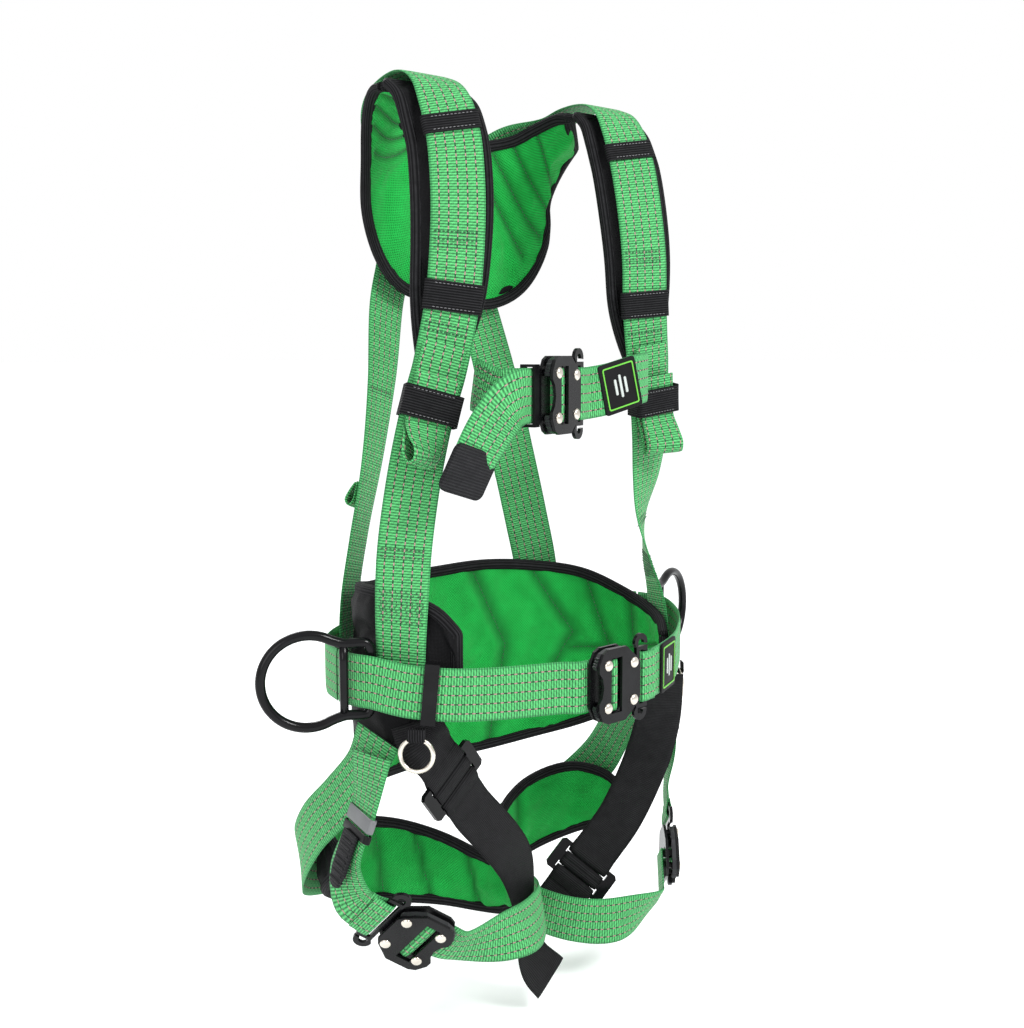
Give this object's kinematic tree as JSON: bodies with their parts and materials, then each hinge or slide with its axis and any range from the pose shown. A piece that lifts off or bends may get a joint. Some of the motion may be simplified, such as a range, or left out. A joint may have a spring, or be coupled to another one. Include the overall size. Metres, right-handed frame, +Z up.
{
  "type": "full_body_climbing_saddle",
  "caption": "Full-body tree climbing harness: padded waist saddle, shoulder yoke, chest strap, leg loops, quick-connect buckles, hip, chest and dorsal attachments",
  "frame": {"origin": "centre of the wearer's waist at mid height of the belt", "axes": "+Z up, -Y the way the wearer faces, -X the wearer's right"},
  "size_m": [0.5272, 0.3171, 0.817],
  "materials": {
    "right_shoulder_pad_finish": "padded mesh lining with bound edge, matte",
    "right_front_strap_finish": "woven, matte",
    "right_back_strap_finish": "woven, matte",
    "right_shoulder_keeper_upper_finish": "ribbed elastic, matte",
    "right_shoulder_keeper_lower_finish": "ribbed elastic, matte",
    "right_chest_loop_finish": "woven, matte",
    "right_chest_loop_keeper_finish": "ribbed elastic, matte",
    "right_chest_strap_finish": "woven, matte",
    "right_hip_d_ring_finish": "gloss black coat over forged steel",
    "right_gear_ring_finish": "bright nickel plate",
    "right_gear_ring_tag_finish": "ribbed elastic, matte",
    "right_riser_upper_finish": "fine ribbed weave, matte",
    "right_riser_lower_finish": "fine ribbed weave, matte",
    "right_riser_adjuster_finish": "gloss black coat over forged steel",
    "right_leg_pad_finish": "padded mesh lining with bound edge, matte",
    "right_leg_strap_finish": "woven, matte",
    "right_leg_front_strap_finish": "woven, matte",
    "left_shoulder_pad_finish": "padded mesh lining with bound edge, matte",
    "left_front_strap_finish": "woven, matte",
    "left_back_strap_finish": "woven, matte",
    "left_shoulder_keeper_upper_finish": "ribbed elastic, matte",
    "left_shoulder_keeper_lower_finish": "ribbed elastic, matte",
    "left_chest_loop_finish": "woven, matte",
    "left_chest_loop_keeper_finish": "ribbed elastic, matte",
    "left_chest_strap_finish": "woven, matte",
    "left_hip_d_ring_finish": "gloss black coat over forged steel",
    "left_gear_ring_finish": "bright nickel plate",
    "left_gear_ring_tag_finish": "ribbed elastic, matte",
    "left_riser_upper_finish": "fine ribbed weave, matte",
    "left_riser_lower_finish": "fine ribbed weave, matte",
    "left_riser_adjuster_finish": "gloss black coat over forged steel",
    "left_leg_pad_finish": "padded mesh lining with bound edge, matte",
    "left_leg_strap_finish": "woven, matte",
    "left_leg_front_strap_finish": "woven, matte",
    "yoke_back_pad_finish": "padded mesh lining with bound edge, matte",
    "dorsal_plate_finish": "satin black",
    "dorsal_d_ring_finish": "gloss black coat over forged steel",
    "chest_tail_tab_finish": "woven, matte",
    "chest_slider_finish": "satin black",
    "waist_pad_finish": "padded mesh lining with bound edge, matte",
    "belt_back_finish": "woven, matte",
    "belt_right_finish": "woven, matte",
    "belt_left_finish": "woven, matte",
    "belt_slider_finish": "satin black",
    "chest_buckle_housing_finish": "gloss black coat over forged steel",
    "chest_buckle_tongue_finish": "gloss black coat over forged steel",
    "chest_buckle_latch_a_finish": "dark grey satin",
    "chest_buckle_latch_b_finish": "dark grey satin",
    "waist_buckle_housing_finish": "gloss black coat over forged steel",
    "waist_buckle_tongue_finish": "gloss black coat over forged steel",
    "waist_buckle_latch_a_finish": "dark grey satin",
    "waist_buckle_latch_b_finish": "dark grey satin",
    "right_leg_buckle_housing_finish": "gloss black coat over forged steel",
    "right_leg_buckle_tongue_finish": "gloss black coat over forged steel",
    "right_leg_buckle_latch_a_finish": "dark grey satin",
    "right_leg_buckle_latch_b_finish": "dark grey satin",
    "left_leg_buckle_housing_finish": "gloss black coat over forged steel",
    "left_leg_buckle_tongue_finish": "gloss black coat over forged steel",
    "left_leg_buckle_latch_a_finish": "dark grey satin",
    "left_leg_buckle_latch_b_finish": "dark grey satin"
  },
  "bodies": {
    "harness": {"right_shoulder_pad": "right_shoulder_pad_finish", "right_front_strap": "right_front_strap_finish", "right_back_strap": "right_back_strap_finish", "right_shoulder_keeper_upper": "right_shoulder_keeper_upper_finish", "right_shoulder_keeper_lower": "right_shoulder_keeper_lower_finish", "right_chest_loop": "right_chest_loop_finish", "right_chest_loop_keeper": "right_chest_loop_keeper_finish", "right_chest_strap": "right_chest_strap_finish", "right_gear_ring_tag": "right_gear_ring_tag_finish", "right_riser_upper": "right_riser_upper_finish", "right_riser_lower": "right_riser_lower_finish", "right_riser_adjuster": "right_riser_adjuster_finish", "right_leg_pad": "right_leg_pad_finish", "right_leg_strap": "right_leg_strap_finish", "right_leg_front_strap": "right_leg_front_strap_finish", "left_shoulder_pad": "left_shoulder_pad_finish", "left_front_strap": "left_front_strap_finish", "left_back_strap": "left_back_strap_finish", "left_shoulder_keeper_upper": "left_shoulder_keeper_upper_finish", "left_shoulder_keeper_lower": "left_shoulder_keeper_lower_finish", "left_chest_loop": "left_chest_loop_finish", "left_chest_loop_keeper": "left_chest_loop_keeper_finish", "left_chest_strap": "left_chest_strap_finish", "left_gear_ring_tag": "left_gear_ring_tag_finish", "left_riser_upper": "left_riser_upper_finish", "left_riser_lower": "left_riser_lower_finish", "left_riser_adjuster": "left_riser_adjuster_finish", "left_leg_pad": "left_leg_pad_finish", "left_leg_strap": "left_leg_strap_finish", "left_leg_front_strap": "left_leg_front_strap_finish", "yoke_back_pad": "yoke_back_pad_finish", "dorsal_plate": "dorsal_plate_finish", "chest_tail_tab": "chest_tail_tab_finish", "waist_pad": "waist_pad_finish", "belt_back": "belt_back_finish", "belt_right": "belt_right_finish", "belt_left": "belt_left_finish", "chest_buckle_housing": "chest_buckle_housing_finish", "chest_buckle_tongue": "chest_buckle_tongue_finish", "waist_buckle_housing": "waist_buckle_housing_finish", "waist_buckle_tongue": "waist_buckle_tongue_finish", "right_leg_buckle_housing": "right_leg_buckle_housing_finish", "right_leg_buckle_tongue": "right_leg_buckle_tongue_finish", "left_leg_buckle_housing": "left_leg_buckle_housing_finish", "left_leg_buckle_tongue": "left_leg_buckle_tongue_finish"},
    "right_hip_d_ring": {"right_hip_d_ring": "right_hip_d_ring_finish"},
    "right_gear_ring": {"right_gear_ring": "right_gear_ring_finish"},
    "left_hip_d_ring": {"left_hip_d_ring": "left_hip_d_ring_finish"},
    "left_gear_ring": {"left_gear_ring": "left_gear_ring_finish"},
    "dorsal_d_ring": {"dorsal_d_ring": "dorsal_d_ring_finish"},
    "belt_slider": {"belt_slider": "belt_slider_finish"},
    "chest_slider": {"chest_slider": "chest_slider_finish"},
    "chest_buckle_latch_a": {"chest_buckle_latch_a": "chest_buckle_latch_a_finish"},
    "chest_buckle_latch_b": {"chest_buckle_latch_b": "chest_buckle_latch_b_finish"},
    "waist_buckle_latch_a": {"waist_buckle_latch_a": "waist_buckle_latch_a_finish"},
    "waist_buckle_latch_b": {"waist_buckle_latch_b": "waist_buckle_latch_b_finish"},
    "right_leg_buckle_latch_a": {"right_leg_buckle_latch_a": "right_leg_buckle_latch_a_finish"},
    "right_leg_buckle_latch_b": {"right_leg_buckle_latch_b": "right_leg_buckle_latch_b_finish"},
    "left_leg_buckle_latch_a": {"left_leg_buckle_latch_a": "left_leg_buckle_latch_a_finish"},
    "left_leg_buckle_latch_b": {"left_leg_buckle_latch_b": "left_leg_buckle_latch_b_finish"}
  },
  "joints": [
    {"name": "right_hip_d_ring_swing", "type": "hinge", "parent": "harness", "child": "right_hip_d_ring", "pos_m": [-0.18874, -0.01402, 0.0015], "axis": [0, 0, 1], "range_deg": [-10, 75]},
    {"name": "right_gear_ring_swing", "type": "hinge", "parent": "harness", "child": "right_gear_ring", "pos_m": [-0.167, -0.062, -0.043], "axis": [0.6222, -0.7828, 0], "range_deg": [-30, 8]},
    {"name": "left_hip_d_ring_swing", "type": "hinge", "parent": "harness", "child": "left_hip_d_ring", "pos_m": [0.18874, -0.01402, 0.0015], "axis": [0, 0, 1], "range_deg": [-70, 18]},
    {"name": "left_gear_ring_swing", "type": "hinge", "parent": "harness", "child": "left_gear_ring", "pos_m": [0.167, -0.062, -0.043], "axis": [0.6222, 0.7828, 0], "range_deg": [-30, 8]},
    {"name": "dorsal_d_ring_swing", "type": "hinge", "parent": "harness", "child": "dorsal_d_ring", "pos_m": [0, 0.1445, 0.414], "axis": [1, 0, 0], "range_deg": [-8, 80]},
    {"name": "belt_slider_slide", "type": "slide", "parent": "harness", "child": "belt_slider", "axis": [0.7229, -0.6855, -0.0872], "range_m": [-0.003, 0.003]},
    {"name": "chest_slider_slide", "type": "slide", "parent": "harness", "child": "chest_slider", "axis": [0.9549, 0.297, 0], "range_m": [-0.002, 0.0003]},
    {"name": "chest_buckle_latch_a_press", "type": "hinge", "parent": "harness", "child": "chest_buckle_latch_a", "pos_m": [-0.03663, -0.10584, 0.247], "axis": [-0.297, 0.9549, 0], "range_deg": [-3, 0], "stiffness_Nm_per_rad": 0.05},
    {"name": "chest_buckle_latch_b_press", "type": "hinge", "parent": "harness", "child": "chest_buckle_latch_b", "pos_m": [-0.03663, -0.10584, 0.215], "axis": [-0.297, 0.9549, 0], "range_deg": [0, 3], "stiffness_Nm_per_rad": 0.05},
    {"name": "waist_buckle_latch_a_press", "type": "hinge", "parent": "harness", "child": "waist_buckle_latch_a", "pos_m": [0, -0.141, 0.007], "axis": [0, 1, 0], "range_deg": [-3, 0], "stiffness_Nm_per_rad": 0.05},
    {"name": "waist_buckle_latch_b_press", "type": "hinge", "parent": "harness", "child": "waist_buckle_latch_b", "pos_m": [0, -0.141, -0.025], "axis": [0, 1, 0], "range_deg": [0, 3], "stiffness_Nm_per_rad": 0.05},
    {"name": "right_leg_buckle_latch_a_press", "type": "hinge", "parent": "harness", "child": "right_leg_buckle_latch_a", "pos_m": [-0.18088, -0.03755, -0.21392], "axis": [0.6536, 0.6163, 0.4392], "range_deg": [-3, 0], "stiffness_Nm_per_rad": 0.05},
    {"name": "right_leg_buckle_latch_b_press", "type": "hinge", "parent": "harness", "child": "right_leg_buckle_latch_b", "pos_m": [-0.17585, -0.05925, -0.19095], "axis": [0.6536, 0.6163, 0.4392], "range_deg": [0, 3], "stiffness_Nm_per_rad": 0.05},
    {"name": "left_leg_buckle_latch_a_press", "type": "hinge", "parent": "harness", "child": "left_leg_buckle_latch_a", "pos_m": [0.15602, -0.06224, -0.20555], "axis": [-0.7203, 0.6937, 0.0038], "range_deg": [-3, 0], "stiffness_Nm_per_rad": 0.05},
    {"name": "left_leg_buckle_latch_b_press", "type": "hinge", "parent": "harness", "child": "left_leg_buckle_latch_b", "pos_m": [0.1746, -0.04285, -0.22295], "axis": [-0.7203, 0.6937, 0.0038], "range_deg": [0, 3], "stiffness_Nm_per_rad": 0.05}
  ],
  "couplings": [
    {"joint": "chest_buckle_latch_b_press", "follows": "chest_buckle_latch_a_press", "ratio": -1},
    {"joint": "waist_buckle_latch_b_press", "follows": "waist_buckle_latch_a_press", "ratio": -1},
    {"joint": "right_leg_buckle_latch_b_press", "follows": "right_leg_buckle_latch_a_press", "ratio": -1},
    {"joint": "left_leg_buckle_latch_b_press", "follows": "left_leg_buckle_latch_a_press", "ratio": -1}
  ]
}
